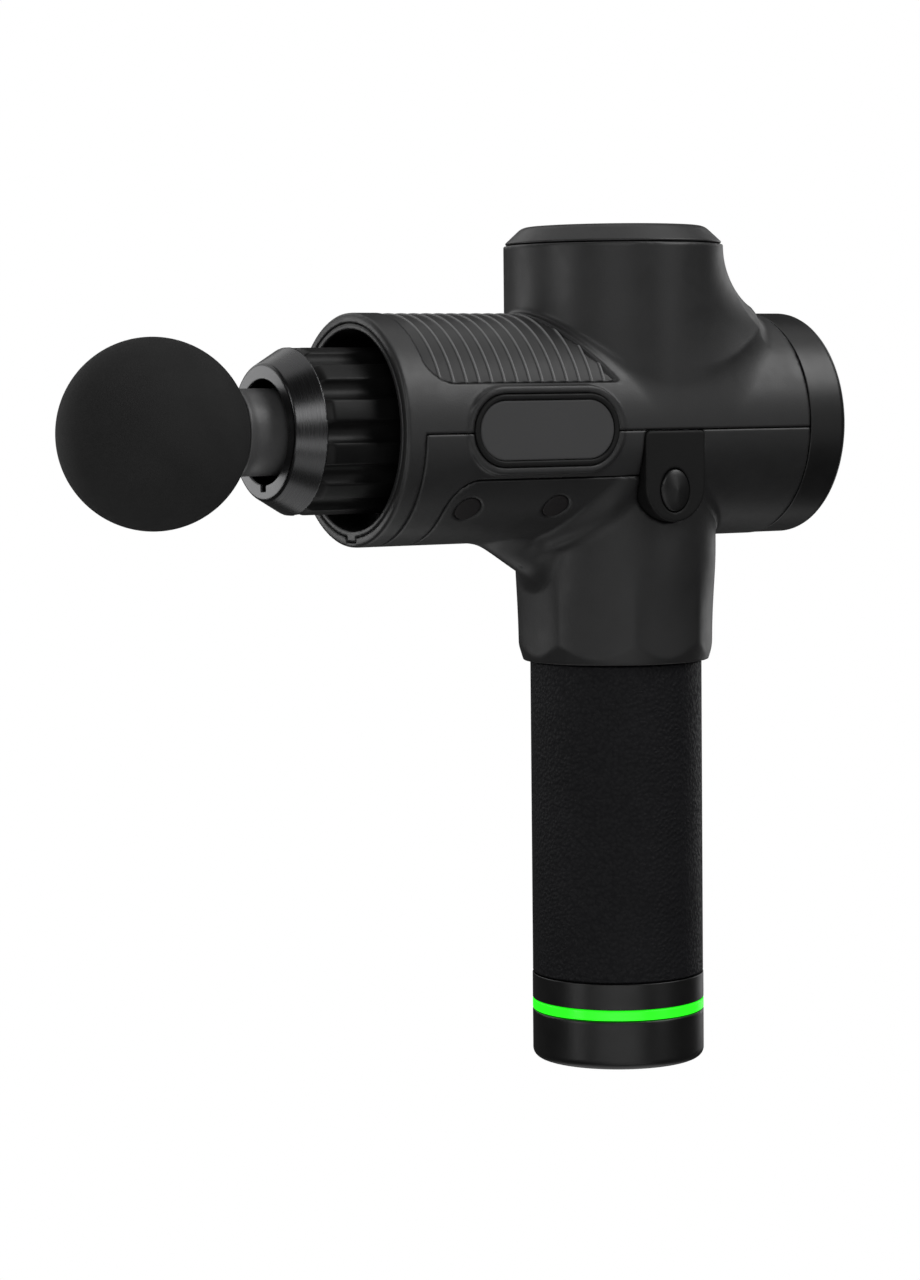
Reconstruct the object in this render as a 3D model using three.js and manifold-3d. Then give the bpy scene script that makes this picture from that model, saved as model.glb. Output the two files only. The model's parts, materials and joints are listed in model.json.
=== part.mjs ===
// A percussive massage gun: a round barrel on an upright battery handle, with a motor turret on top.
// Millimetres. +Z is up along the handle, the massage head points along -X, and Y = 0 is the mirror plane.
// The origin is the centre of the foot, on the surface that the handle stands on.
import * as THREE from "three";
import { mergeVertices } from "three/addons/utils/BufferGeometryUtils.js";
import Module from "manifold-3d";

const wasm = await Module();
wasm.setup();

// ---- driving dimensions ----
const GAP = 0.3; // clearance between neighbouring pieces
const PROUD = 5; // how far a cutter reaches past what it cuts
const COARSE = 18; // segments round small and hidden pieces
const FINE = 40; // segments round the large shells
const MEDIUM = 28; // segments round the handle and the drive

// Barrel, about the line Y = 0, Z = BARREL_Z
const BARREL_Z = 177.3;
const BARREL_R = 31.25;
const WALL = 2.6;
const BARREL_IN = BARREL_R - WALL;
const RIM_X = -84.2;
const RIM_SEAM_X = -78.7;
const REAR_SEAM_X = 44.7;
const REAR_X = 57.7;
const SEAM_Z = 176.6; // split between the upper shell and what is below it
const BAND_Z = 164; // split between the front lower shell and the neck housing
const BAND_FRONT_X = -69.2; // rear edge of the front lower shell, under the barrel

// Turret, about the Z axis
const TURRET_R = 30.45;
const TURRET_CHAMFER_Z = 227.1;
const TURRET_TOP_Z = 232.3;
const TURRET_TOP_R = 25.2;

// Neck and handle, about the Z axis
const NECK_BOTTOM_Z = 112.2;
const NECK_BOTTOM_R = 25.9;
const NECK_CHAMFER_Z = 117.5;
const NECK_R = 27.2;
const NECK_TOP_R = 27.8;
const NECK_BORE_R = 22.4;
const TUBE_R = 22;
const TUBE_IN = 20.2;
const TUBE_TOP_Z = 148;
const GRIP_R = 23.9;
const GRIP_BOTTOM_Z = 24.3;
const BASE_R = 24;
const FOOT_R = 21.8;
const RING_LOW_Z = 13.9;
const RING_HIGH_Z = 16.5;
const FLOOR = 2.2; // thickness of the foot

// Drive
const STROKE = 12;
const CRANK_R = STROKE / 2;
const PISTON_R = 11.9;
const SOCKET_R = 9.4;
const PISTON_FRONT_X = -104;
const PISTON_REAR_X = -56;
const BORE_R = 13.8; // mouth of the nose ring
const NOSE_X = -110.3;
const NOSE_R = 17.95;
const SLEEVE_R = 22.6;
const SLEEVE_FRONT_X = -102.3;
const SLEEVE_REAR_X = -66.4;
const FLUTES = 12;
const FLUTE_DEPTH = 2.1;
const FLUTE_SHARE = 0.56; // share of the pitch that a flute takes
const GUIDE_R = 16.5; // outside of the frame's guide tube
const GUIDE_IN = 14.2;
const ROLLER_R = 5.5;
const PIN_R = 2.5;
const SHAFT_R = 3;
const SLOT_HALF = ROLLER_R + 1.4; // the roller strays 1.26 mm from a motion at a constant rate
const PLATE_Z = 193;

// Massage head
const BALL_X = -142;
const BALL_R = 25.1;
const STEM_R = 11.5;

// Side fittings
const TAB = { x: -0.8, half: 9.6, top: SEAM_Z - 0.4, bottom: 151.4, face: 31.7 };
const BUTTON = { x: -1.1, z: 160, halfX: 4.6, halfZ: 5.8, travel: 1.5 };
const BADGE = { x: -41.5, z: 177, halfX: 22.5, halfZ: 9.55, face: 31.9 };
const BADGE_RIM = 1.7;
const PLUG = { xs: [-61.5, -34], angle: 42.6, r: 3.75 }; // degrees below the side, round the barrel

const MATERIALS = {
  shell: material(0x2c2c2d, 0.45, 0),
  gloss: material(0x0d0d0e, 0.2, 0),
  dark: material(0x161616, 0.6, 0),
  foam: material(0x0b0b0b, 0.85, 0),
  grip: material(0x121212, 0.75, 0),
  metal: material(0x8a8b8c, 0.35, 0.9),
  steel: material(0xb4b6b8, 0.3, 1),
  copper: material(0x9a5a2c, 0.5, 0.6),
  board: material(0x14502c, 0.6, 0),
  cell: material(0x2f5fa8, 0.5, 0),
  bronze: material(0xa57b3c, 0.45, 0.8),
  rubber: material(0x141414, 0.9, 0),
  glow: material(0x2bf51a, 0.4, 0),
  lens: material(0x050506, 0.1, 0),
};

function material(color, roughness, metalness) {
  return new THREE.MeshStandardMaterial({ color, roughness, metalness });
}

// ---- shapes ----
// A profile of [radius, height] points turned about Z.
function turned(points, segments = COARSE) {
  const profile = points.map(([radius, height]) => new THREE.Vector2(radius, height));
  return new THREE.LatheGeometry(profile, segments).rotateX(Math.PI / 2);
}

function rod(radius, low, high, segments) {
  return turned([[0, low], [radius, low], [radius, high], [0, high]], segments);
}

function tube(inner, outer, low, high, segments) {
  return turned([[inner, low], [outer, low], [outer, high], [inner, high], [inner, low]], segments);
}

// The same shapes lie along the barrel when their height is taken as X.
function along(geometry) {
  return geometry.rotateY(Math.PI / 2).translate(0, 0, BARREL_Z);
}

// Or they stand out of the barrel's side at x, `angle` degrees below the horizontal.
function radial(geometry, x, angle, side) {
  const turn = THREE.MathUtils.degToRad(90 + angle);
  return geometry.rotateX(-side * turn).translate(x, 0, BARREL_Z);
}

function block([x0, x1], [y0, y1], [z0, z1]) {
  const box = new THREE.BoxGeometry(x1 - x0, y1 - y0, z1 - z0);
  return box.translate((x0 + x1) / 2, (y0 + y1) / 2, (z0 + z1) / 2);
}

// An outline drawn in X and Z, extruded across Y.
function prism(outline, y0, y1) {
  const options = { depth: y1 - y0, bevelEnabled: false, curveSegments: 6 };
  return new THREE.ExtrudeGeometry(outline, options).rotateX(Math.PI / 2).translate(0, y1, 0);
}

function sidePrism(outline, side, near, far) {
  return side < 0 ? prism(outline, -far, -near) : prism(outline, near, far);
}

function polygon(points) {
  return new THREE.Shape(points.map(([x, z]) => new THREE.Vector2(x, z)));
}

function pill(x, z, halfX, halfZ) {
  const straight = halfX - halfZ;
  const outline = new THREE.Shape();
  outline.absarc(x + straight, z, halfZ, -Math.PI / 2, Math.PI / 2, false);
  outline.absarc(x - straight, z, halfZ, Math.PI / 2, Math.PI * 1.5, false);
  return outline;
}

function oval(x, z, halfX, halfZ) {
  return new THREE.Shape().absellipse(x, z, halfX, halfZ, 0, Math.PI * 2, false, 0);
}

// A tab with a round lower end.
function tabOutline(grow) {
  const half = TAB.half + grow;
  const outline = new THREE.Shape();
  outline.moveTo(TAB.x + half, TAB.top + grow);
  outline.lineTo(TAB.x - half, TAB.top + grow);
  outline.absarc(TAB.x, TAB.bottom + TAB.half, half, Math.PI, Math.PI * 2, false);
  return outline;
}

function solid(geometry) {
  geometry.deleteAttribute("normal");
  geometry.deleteAttribute("uv");
  const merged = mergeVertices(geometry, 1e-4);
  const vertProperties = merged.attributes.position.array;
  const triVerts = new Uint32Array(merged.index.array);
  return new wasm.Manifold(new wasm.Mesh({ numProp: 3, vertProperties, triVerts }));
}

function joined(...geometries) {
  return geometries.map(solid).reduce((sum, next) => sum.add(next));
}

function cut(body, ...geometries) {
  return geometries.map(solid).reduce((rest, next) => rest.subtract(next), body);
}

function surfaceOf(body) {
  const { vertProperties, triVerts } = body.getMesh();
  const geometry = new THREE.BufferGeometry();
  geometry.setAttribute("position", new THREE.BufferAttribute(vertProperties, 3));
  geometry.setIndex(new THREE.BufferAttribute(triVerts, 1));
  geometry.computeVertexNormals();
  return geometry;
}

const gun = new THREE.Group();

function add(name, shape, look) {
  const geometry = shape.isBufferGeometry ? shape : surfaceOf(shape);
  const mesh = new THREE.Mesh(geometry, MATERIALS[look]);
  mesh.name = name;
  gun.add(mesh);
}

// The left side faces +Y: the head points away from the user.
const SIDES = [["left", 1], ["right", -1]];

// The four screw bosses low on the barrel: a name, a place along X, and a side.
function plugPlaces() {
  const rows = [["front", PLUG.xs[0]], ["rear", PLUG.xs[1]]];
  return rows.flatMap(([row, x]) => SIDES.map(([hand, side]) => [`${row}_${hand}`, x, side]));
}

// ---- housing shells ----
// Everything outside the drive: barrel, turret, the fairing behind it, and the lips round the badges.
function housingOutside() {
  const barrel = along(rod(BARREL_R, RIM_X, REAR_SEAM_X, FINE));
  const turret = rod(TURRET_R, SEAM_Z, TURRET_CHAMFER_Z, FINE);
  const fairing = turned([[0, 185], [45, 185], [43, 204], [37, 209.5], [33, 215], [TURRET_R, 223], [0, 223]], FINE);
  const behind = solid(fairing).intersect(solid(block([5, REAR_SEAM_X], [-20, 20], [180, 230])));
  const lip = 1.7;
  const lips = SIDES.map(([, side]) => {
    const outline = pill(BADGE.x, BADGE.z, BADGE.halfX + lip, BADGE.halfZ + lip);
    return sidePrism(outline, side, BARREL_IN - 4, BADGE.face - 0.5);
  });
  return joined(barrel, turret, ...lips).add(behind);
}

function neckOutside() {
  const column = turned([
    [0, NECK_BOTTOM_Z],
    [NECK_BOTTOM_R, NECK_BOTTOM_Z],
    [NECK_R, NECK_CHAMFER_Z],
    [NECK_TOP_R, 140],
    [NECK_TOP_R, 160],
    [0, 160],
  ], FINE);
  const gusset = polygon([[-48.5, 150], [-48.5, 145.8], [-34, 137.2], [-31, 133], [-20, 131], [-20, 150]]);
  const webHalf = 8;
  return joined(column, prism(gusset, -webHalf, webHalf));
}

function housingInside() {
  const barrel = along(rod(BARREL_IN, RIM_X - PROUD, REAR_SEAM_X + PROUD, FINE));
  const turret = rod(TURRET_R - WALL, SEAM_Z - PROUD, TURRET_TOP_Z, FINE);
  return joined(barrel, turret);
}

// The holes that the badge and the tab fill on each side.
function sideHoles() {
  return SIDES.flatMap(([, side]) => [
    sidePrism(pill(BADGE.x, BADGE.z, BADGE.halfX + GAP, BADGE.halfZ + GAP), side, 20, 40),
    sidePrism(tabOutline(GAP), side, 10, 40),
  ]);
}

function addShells() {
  const wide = [-50, 50];
  const wall = cut(housingOutside(), ...sideHoles()).subtract(housingInside());
  const below = [100, SEAM_Z];
  const upper = cut(wall, block([RIM_SEAM_X, REAR_SEAM_X + PROUD], wide, below));
  add("upper_shell", upper, "shell");

  const underSeam = solid(block([RIM_SEAM_X + GAP, REAR_SEAM_X + PROUD], wide, [100, SEAM_Z - GAP]));
  const lowerWall = wall.intersect(underSeam);
  const strip = block([RIM_SEAM_X, TAB.x], wide, [BAND_Z, SEAM_Z]);
  const front = block([RIM_SEAM_X, BAND_FRONT_X], wide, [100, BAND_Z + 1]);
  add("front_lower_shell", lowerWall.intersect(joined(strip, front)), "shell");

  const barrelPart = cut(
    joined(along(rod(BARREL_R, BAND_FRONT_X + GAP, REAR_SEAM_X, FINE))),
    block([RIM_X, TAB.x], wide, [BAND_Z - GAP, 230]),
    block([TAB.x - 1, REAR_X], wide, [SEAM_Z - GAP, 230]),
  );
  const bosses = plugPlaces().map(([, x, side]) => radial(rod(5.2, 26.6, 29.5), x, PLUG.angle, side));
  const inside = [
    along(rod(BARREL_IN, RIM_X, REAR_SEAM_X + PROUD, FINE)),
    rod(NECK_BORE_R, NECK_BOTTOM_Z - PROUD, 175, FINE),
    ...sideHoles(),
  ];
  const hollow = cut(barrelPart.add(neckOutside()), ...inside);
  const screwHoles = plugPlaces().flatMap(([, x, side]) => [
    radial(rod(PLUG.r + GAP, 28.4, 40), x, PLUG.angle, side),
    radial(rod(1.75, 20, 40), x, PLUG.angle, side),
  ]);
  add("neck_housing", cut(hollow.add(joined(...bosses)), ...screwHoles), "dark");
}

function addCovers() {
  add("mouth_liner", along(tube(26.8, BARREL_IN - GAP, RIM_X + 0.4, -67.5, FINE)), "dark");
  const cap = turned([
    [0, TURRET_CHAMFER_Z - 2.2],
    [TURRET_R - WALL - GAP, TURRET_CHAMFER_Z - 2.2],
    [TURRET_R - WALL - GAP, TURRET_CHAMFER_Z + GAP],
    [TURRET_R, TURRET_CHAMFER_Z + GAP],
    [TURRET_TOP_R, TURRET_TOP_Z],
    [0, TURRET_TOP_Z],
  ], FINE);
  add("turret_cap", cap, "shell");

  const edge = 2.4; // rounded rear edge
  const capR = BARREL_R - 0.15;
  const lip = 26.4;
  const rearCap = turned([
    [BARREL_IN, REAR_SEAM_X + GAP],
    [capR, REAR_SEAM_X + GAP],
    [capR, REAR_X - edge],
    [capR - edge * 0.3, REAR_X - edge * 0.3],
    [capR - edge, REAR_X],
    [lip, REAR_X],
    [lip, REAR_X - 2],
    [BARREL_IN, REAR_X - 2],
    [BARREL_IN, REAR_SEAM_X + GAP],
  ], FINE);
  add("rear_cap", along(rearCap), "gloss");
}

// ---- side fittings ----
function addSideFittings() {
  const inner = () => along(rod(BARREL_IN, RIM_X, REAR_X, FINE));
  const recess = 1.1;
  for (const [hand, side] of SIDES) {
    const rim = joined(sidePrism(pill(BADGE.x, BADGE.z, BADGE.halfX, BADGE.halfZ), side, 20, BADGE.face));
    const plateHalfX = BADGE.halfX - BADGE_RIM;
    const plateHalfZ = BADGE.halfZ - BADGE_RIM;
    const pocket = sidePrism(pill(BADGE.x, BADGE.z, plateHalfX, plateHalfZ), side, BADGE.face - recess, 40);
    add(`badge_frame_${hand}`, cut(rim, pocket, inner()), "gloss");
    const plate = pill(BADGE.x, BADGE.z, plateHalfX - GAP, plateHalfZ - GAP);
    add(`badge_plate_${hand}`, sidePrism(plate, side, BADGE.face - recess + GAP, BADGE.face - 0.2), "shell");

    const keyway = oval(BUTTON.x, BUTTON.z, BUTTON.halfX + GAP, BUTTON.halfZ + GAP);
    const tab = joined(sidePrism(tabOutline(0), side, 10, TAB.face));
    add(`side_tab_${hand}`, cut(tab, sidePrism(keyway, side, 5, 40), inner()), "gloss");
    const button = joined(
      sidePrism(oval(BUTTON.x, BUTTON.z, BUTTON.halfX, BUTTON.halfZ), side, 22.5, TAB.face + 0.5),
      sidePrism(oval(BUTTON.x, BUTTON.z, BUTTON.halfX * 0.6, BUTTON.halfZ * 0.6), side, 30, TAB.face + 1.4),
    );
    add(`release_button_${hand}`, button, "gloss");
  }
  const headLow = 28.55;
  for (const [place, x, side] of plugPlaces()) {
    add(`screw_plug_${place}`, radial(rod(PLUG.r, 29.9, 31.1), x, PLUG.angle, side), "rubber");
    const screw = turned([[0, 19], [1.35, 19], [1.35, headLow], [2.9, headLow], [2.9, 29.5], [0, 29.5]], 12);
    add(`housing_screw_${place}`, radial(screw, x, PLUG.angle, side), "steel");
  }
}

// ---- nose ----
function flutedOutline() {
  const outline = new THREE.Shape();
  const steps = 8;
  const count = FLUTES * steps;
  for (let i = 0; i < count; i += 1) {
    const angle = (i / count) * Math.PI * 2;
    const across = (2 * (i % steps)) / steps;
    const inFlute = Math.min(across, 2 - across) / FLUTE_SHARE;
    const radius = SLEEVE_R - FLUTE_DEPTH * Math.sqrt(Math.max(0, 1 - inFlute ** 2));
    const point = new THREE.Vector2(radius * Math.cos(angle), radius * Math.sin(angle));
    if (i === 0) outline.moveTo(point.x, point.y);
    else outline.lineTo(point.x, point.y);
  }
  return outline;
}

function addNose() {
  const hole = GUIDE_R + GAP;
  const outline = flutedOutline();
  outline.holes.push(new THREE.Path().absarc(0, 0, hole, 0, Math.PI * 2, true));
  const length = SLEEVE_REAR_X - SLEEVE_FRONT_X;
  const options = { depth: length, bevelEnabled: false, curveSegments: COARSE };
  const sleeve = new THREE.ExtrudeGeometry(outline, options).translate(0, 0, SLEEVE_FRONT_X);
  add("fluted_sleeve", along(sleeve), "gloss");

  const cone = turned([
    [BORE_R, NOSE_X],
    [NOSE_R, NOSE_X],
    [SLEEVE_R - 0.2, SLEEVE_FRONT_X - GAP],
    [BORE_R, SLEEVE_FRONT_X - GAP],
    [BORE_R, NOSE_X],
  ], MEDIUM);
  const notch = block([NOSE_X - 1, SLEEVE_FRONT_X], [-1.2, 1.2], [BARREL_Z - BORE_R - 1.6, BARREL_Z - BORE_R + 2]);
  add("nose_ring", cut(joined(along(cone)), notch), "metal");

  const bushes = [["front_bush", -99, -86], ["rear_bush", -81.5, -69.5]];
  for (const [name, low, high] of bushes) {
    add(name, along(tube(PISTON_R + GAP, GUIDE_IN - GAP, low, high)), "bronze");
  }
}

// ---- drive: the frame, motor, crank, yoke and piston ----
function addFrame() {
  const wallX = [-24, -20];
  const half = 20;
  const outside = joined(
    block([wallX[0], 26], [-half, half], [PLATE_Z, PLATE_Z + 3]),
    block(wallX, [-half, half], [164, PLATE_Z + 1]),
    along(rod(GUIDE_R, -100, wallX[0] + 1, MEDIUM)),
    ...plugPlaces().map(([, x, side]) => radial(rod(4.2, 15.3, 26.2), x, PLUG.angle, side)),
  );
  const frame = cut(
    outside,
    along(rod(GUIDE_IN, -101, wallX[1] + 1, MEDIUM)),
    rod(8.3, PLATE_Z - 1, PLATE_Z + 4),
    ...plugPlaces().map(([, x, side]) => radial(rod(1.65, 18.5, 30, 12), x, PLUG.angle, side)),
  );
  add("drive_frame", frame, "metal");
}

function addMotor() {
  const flangeZ = PLATE_Z + 3 + GAP;
  const coreLow = flangeZ + 2.6;
  const coreHigh = 213;
  const neckR = 6.3;
  const core = turned([
    [neckR, flangeZ],
    [19.8, flangeZ],
    [19.8, flangeZ + 1.6],
    [9, flangeZ + 1.6],
    [9, coreLow],
    [17, coreLow],
    [17, coreHigh],
    [neckR, coreHigh],
    [neckR, flangeZ],
  ], COARSE);
  add("motor_stator", core, "copper");
  const can = turned([
    [SHAFT_R + GAP, 216.2],
    [17.7, 216.2],
    [17.7, coreLow],
    [21.5, coreLow],
    [21.5, 218.6],
    [SHAFT_R + GAP, 218.6],
    [SHAFT_R + GAP, 216.2],
  ], COARSE);
  add("motor_rotor", can, "metal");
  add("motor_shaft", rod(SHAFT_R, 185.3, 221, 16), "steel");
  add("lower_bearing", tube(SHAFT_R + GAP, 8, PLATE_Z - 0.6, PLATE_Z + 2.8), "steel");
}

// At rest the crank points to the rear: the piston is fully in.
function addCrank() {
  const discLow = 184;
  const discHigh = 188;
  const weight = new THREE.Shape();
  weight.absarc(0, 0, 14.5, Math.PI * 0.6, Math.PI * 1.4, false);
  weight.absarc(0, 0, 6, Math.PI * 1.4, Math.PI * 0.6, true);
  const options = { depth: 4.4, bevelEnabled: false, curveSegments: 12 };
  const disc = joined(
    rod(15, discLow, discHigh, MEDIUM),
    rod(PIN_R, 171.6, discLow + 1, 16).translate(CRANK_R, 0, 0),
    new THREE.ExtrudeGeometry(weight, options).translate(0, 0, discHigh - 1),
  );
  add("crank_disc", cut(disc, rod(SHAFT_R + GAP, 185, 190, 16)), "steel");
  add("crank_roller", tube(PIN_R + GAP, ROLLER_R, 172.4, 182.6).translate(CRANK_R, 0, 0), "steel");
}

function addPiston() {
  const yokeHalf = SLOT_HALF + 4;
  const yokeZ = [171.7, 183.2];
  const slotReach = CRANK_R + ROLLER_R + 1.3;
  const yoke = cut(
    joined(block([CRANK_R - yokeHalf, CRANK_R + yokeHalf], [-slotReach - 4, slotReach + 4], yokeZ)),
    block([CRANK_R - SLOT_HALF, CRANK_R + SLOT_HALF], [-slotReach, slotReach], [160, 190]),
  );
  add("yoke", yoke, "metal");
  const yokeFront = CRANK_R - yokeHalf;
  add("piston_rod", along(rod(5.2, PISTON_REAR_X + GAP, yokeFront - GAP, 16)), "steel");
  const floorX = -80;
  const piston = turned([
    [0, floorX],
    [SOCKET_R, floorX],
    [SOCKET_R, PISTON_FRONT_X],
    [PISTON_R, PISTON_FRONT_X],
    [PISTON_R, PISTON_REAR_X],
    [0, PISTON_REAR_X],
  ]);
  add("piston", along(piston), "metal");
}

// ---- massage head ----
function addHead() {
  const flatR = 12.2; // the flat on the ball, where the stem's flange meets it
  const flatX = BALL_X + Math.sqrt(BALL_R ** 2 - flatR ** 2);
  const spigotR = 7;
  const pocketX = BALL_X + 6;
  const start = Math.asin(flatR / BALL_R);
  const steps = 12;
  const ball = [[0, BALL_X - BALL_R]];
  for (let i = 1; i <= steps; i += 1) {
    const angle = Math.PI - (i / steps) * (Math.PI - start);
    ball.push([BALL_R * Math.sin(angle), BALL_X + BALL_R * Math.cos(angle)]);
  }
  ball.push([spigotR + GAP, flatX], [spigotR + GAP, pocketX], [0, pocketX]);
  add("massage_ball", along(turned(ball, MEDIUM)), "foam");

  const shoulderX = PISTON_FRONT_X - GAP;
  const plugR = SOCKET_R - GAP;
  const plugEnd = -82;
  const grooveR = 7.2;
  const grooves = [[-98, -95.6], [-90.4, -88]];
  const stem = [
    [0, pocketX + GAP],
    [spigotR, pocketX + GAP],
    [spigotR, flatX + GAP],
    [flatR, flatX + GAP],
    [STEM_R, flatX + 3],
    [STEM_R, shoulderX],
    [plugR, shoulderX],
  ];
  for (const [low, high] of grooves) {
    stem.push([plugR, low], [grooveR, low], [grooveR, high], [plugR, high]);
  }
  stem.push([plugR, plugEnd], [0, plugEnd]);
  add("head_stem", along(turned(stem)), "dark");
  grooves.forEach(([low, high], i) => {
    const ring = tube(grooveR + 0.1, plugR + 0.1, low + 0.2, high - 0.2);
    add(`stem_o_ring_${i + 1}`, along(ring), "rubber");
  });
}

// ---- rear panel ----
const PANEL_FRONT_X = 55.9;
const KEYS = [["minus_button", -11.5, 168.5], ["power_button", 0, 163], ["plus_button", 11.5, 168.5]];
const KEY_R = 4.2;
const DISPLAY = { halfY: 10.5, low: 183, high: 195 };

function addRearPanel() {
  const plate = joined(along(rod(26.1, PANEL_FRONT_X, REAR_X, MEDIUM)));
  const windowHole = block(
    [PANEL_FRONT_X + 0.9, REAR_X + 1],
    [-DISPLAY.halfY - GAP, DISPLAY.halfY + GAP],
    [DISPLAY.low - GAP, DISPLAY.high + GAP],
  );
  const keyHole = ([, y, z]) =>
    rod(KEY_R + GAP, PANEL_FRONT_X - 1, REAR_X + 1).rotateY(Math.PI / 2).translate(0, y, z);
  add("rear_panel", cut(plate, windowHole, ...KEYS.map(keyHole)), "gloss");
  const lens = block(
    [PANEL_FRONT_X + 0.9 + GAP, REAR_X - 0.1],
    [-DISPLAY.halfY, DISPLAY.halfY],
    [DISPLAY.low, DISPLAY.high],
  );
  add("display_lens", lens, "lens");
  for (const [name, y, z] of KEYS) {
    const key = turned([
      [0, 53.4],
      [KEY_R, 53.4],
      [KEY_R, REAR_X + 0.3],
      [KEY_R - 0.6, REAR_X + 0.8],
      [0, REAR_X + 0.8],
    ]);
    add(name, key.rotateY(Math.PI / 2).translate(0, y, z), "rubber");
  }
  add("control_board", block([50.4, 52], [-17, 17], [158, 197]), "board");
}

// ---- battery handle ----
const JACK_X = -10;
const SWITCH_X = 10;

function addHandle() {
  add("battery_tube", tube(TUBE_IN, TUBE_R, 14.3, TUBE_TOP_Z, 40), "dark");
  add("grip_sleeve", tube(TUBE_R + GAP, GRIP_R, GRIP_BOTTOM_Z, NECK_BOTTOM_Z - GAP, MEDIUM), "grip");
  const bandIn = TUBE_R + GAP;
  add("base_band", tube(bandIn, BASE_R, RING_HIGH_Z + GAP, GRIP_BOTTOM_Z - GAP, MEDIUM), "gloss");
  add("light_ring", tube(bandIn, BASE_R, RING_LOW_Z, RING_HIGH_Z, MEDIUM), "glow");
  const cupTop = RING_LOW_Z - GAP;
  const cupIn = BASE_R - 2.2;
  const cup = turned([
    [0, 0],
    [FOOT_R, 0],
    [BASE_R - 0.9, 0.6],
    [BASE_R - 0.3, 1.6],
    [BASE_R, 3],
    [BASE_R, cupTop],
    [cupIn, cupTop],
    [cupIn, FLOOR],
    [0, FLOOR],
  ], MEDIUM);
  const jackHole = rod(4.3, -1, 4).translate(JACK_X, 0, 0);
  const switchHole = block([SWITCH_X - 2.4, SWITCH_X + 2.4], [-5, 5], [-1, 4]);
  add("base_cup", cut(joined(cup), jackHole, switchHole), "gloss");

  const jack = turned([
    [0, 2.6],
    [0.9, 2.6],
    [0.9, 9],
    [2.7, 9],
    [2.7, 0.4],
    [4, 0.4],
    [4, 11.2],
    [0, 11.2],
  ]);
  // The pin stands in the socket, so its tip is lower than the socket's floor.
  add("charge_jack", jack.translate(JACK_X, 0, 0), "dark");
  add("power_switch", block([SWITCH_X - 2, SWITCH_X + 2], [-4.5, 0.5], [0.4, 5]), "dark");
  add("charge_board", rod(20, 11.6, 13.2, MEDIUM), "board");

  const cellR = 9.05;
  const apart = ((cellR + 0.15) * 2) / Math.sqrt(3);
  const layers = [15, 81];
  layers.forEach((low, layer) => {
    for (let i = 0; i < 3; i += 1) {
      const angle = (i / 3) * Math.PI * 2;
      const cell = rod(cellR, low, low + 65, COARSE);
      const place = [apart * Math.cos(angle), apart * Math.sin(angle), 0];
      add(`battery_cell_${layer * 3 + i + 1}`, cell.translate(...place), "cell");
    }
  });
}

addShells();
addCovers();
addSideFittings();
addNose();
addFrame();
addMotor();
addCrank();
addPiston();
addHead();
addRearPanel();
addHandle();

export default gun;
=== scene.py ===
"""A percussive massage gun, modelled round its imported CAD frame. Shapes are in millimetres."""
import json
import math

import bpy
import numpy as np
import openvdb
from mathutils import Matrix, Vector


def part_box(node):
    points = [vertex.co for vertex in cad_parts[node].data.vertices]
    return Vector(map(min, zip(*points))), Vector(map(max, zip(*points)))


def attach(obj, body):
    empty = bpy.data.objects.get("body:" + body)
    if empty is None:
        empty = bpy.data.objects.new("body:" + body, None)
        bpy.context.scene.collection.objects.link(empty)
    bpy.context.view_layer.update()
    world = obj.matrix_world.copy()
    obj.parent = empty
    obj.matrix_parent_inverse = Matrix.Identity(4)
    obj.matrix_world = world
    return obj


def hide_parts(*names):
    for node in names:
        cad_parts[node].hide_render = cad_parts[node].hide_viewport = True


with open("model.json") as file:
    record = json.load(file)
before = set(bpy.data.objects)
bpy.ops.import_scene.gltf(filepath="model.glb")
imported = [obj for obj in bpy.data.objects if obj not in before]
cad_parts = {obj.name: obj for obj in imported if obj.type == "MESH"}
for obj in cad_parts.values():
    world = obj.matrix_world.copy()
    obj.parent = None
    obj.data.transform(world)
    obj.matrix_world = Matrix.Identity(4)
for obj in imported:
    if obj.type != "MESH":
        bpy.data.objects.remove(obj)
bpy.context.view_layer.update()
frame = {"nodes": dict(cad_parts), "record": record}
MM = 0.001


# ---- dimensions, in millimetres, from the frame ----
def low(node):
    return np.array(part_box(node)[0]) / MM


def high(node):
    return np.array(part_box(node)[1]) / MM


BARREL_Z = (low("rear_cap")[2] + high("rear_cap")[2]) / 2
BARREL_R = BARREL_Z - low("front_lower_shell")[2]
WALL = 2.6
RIM_X = low("upper_shell")[0]
BAND_X = low("front_lower_shell")[0]
REAR_SEAM_X = high("upper_shell")[0]
REAR_X = high("rear_cap")[0]
SEAM_Z = high("front_lower_shell")[2]
TURRET_R = (high("turret_cap")[0] - low("turret_cap")[0]) / 2
TURRET_TOP = high("turret_cap")[2]
CHAMFER_Z = high("upper_shell")[2]
NECK_Z = low("neck_housing")[2]
TAB_LOW, TAB_HIGH = low("side_tab_left"), high("side_tab_left")
BUTTON_LOW, BUTTON_HIGH = low("release_button_left"), high("release_button_left")
BADGE_LOW, BADGE_HIGH = low("badge_frame_left"), high("badge_frame_left")
GAP = 0.22  # width of the line between two mouldings
SPLIT_X = -0.8  # where the front lower shell ends and the neck housing goes on


# ---- distance fields: negative inside, in millimetres ----
def fillet(a, b, k):
    """Union with a fillet of radius k."""
    return np.maximum(k, np.minimum(a, b)) - np.hypot(np.maximum(k - a, 0), np.maximum(k - b, 0))


def rounded(a, b, k):
    """Intersection with its edge rounded to radius k."""
    return -fillet(-a, -b, k)


def ramp(value, start, end):
    """0 before start, 1 after end, smooth between."""
    t = np.clip((value - start) / (end - start), 0, 1)
    return t * t * (3 - 2 * t)


def pill(u, v, half_u, half_v):
    """A slot outline with round ends, longer along u."""
    return np.hypot(np.maximum(np.abs(u) - (half_u - half_v), 0), v) - half_v


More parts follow.
